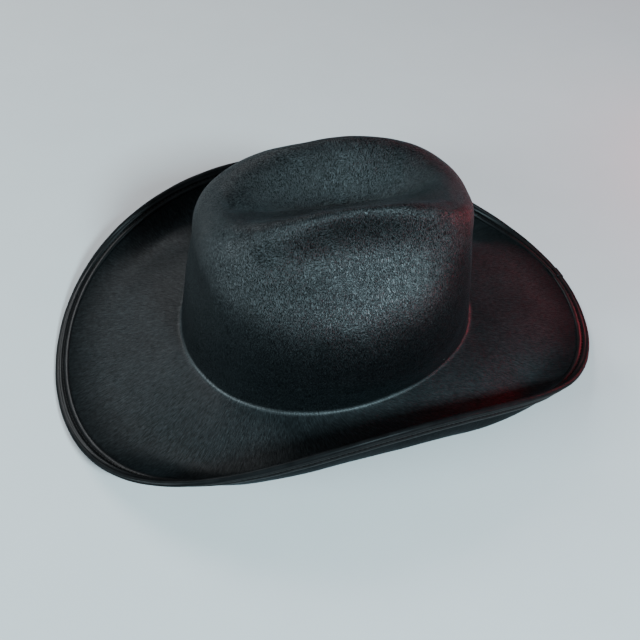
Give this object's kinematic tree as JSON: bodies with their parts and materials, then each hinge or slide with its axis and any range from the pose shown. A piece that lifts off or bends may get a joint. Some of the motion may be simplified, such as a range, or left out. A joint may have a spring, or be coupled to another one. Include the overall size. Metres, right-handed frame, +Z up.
{
  "type": "cowboy hat",
  "caption": "Black felt cowboy hat with a creased and pinched crown, a wide brim rolled up at both sides, a wired tape-bound edge and a sweatband inside.",
  "frame": {"origin": "centre of the hat's outline, on the surface that the front and back edges of the brim rest on", "axes": "+X to the front of the hat, +Z up, +Y to the wearer's left"},
  "size_m": [0.3916, 0.2804, 0.1502],
  "materials": {
    "felt": "matt needle-punched felt",
    "binding_tape": "smooth, slightly shiny folded tape",
    "thread": "twisted sewing thread",
    "spring_wire": "drawn spring wire",
    "sleeve_metal": "crimped",
    "sweatband_tape": "ribbed woven tape",
    "label": "blank woven satin"
  },
  "bodies": {
    "root": {"felt_body": "felt", "edge_binding": "binding_tape", "binding_top_thread": "thread", "binding_under_thread": "thread", "brim_wire": "spring_wire", "wire_sleeve": "sleeve_metal", "sweatband": "sweatband_tape", "sweatband_thread": "thread", "care_label": "label"}
  },
  "joints": []
}
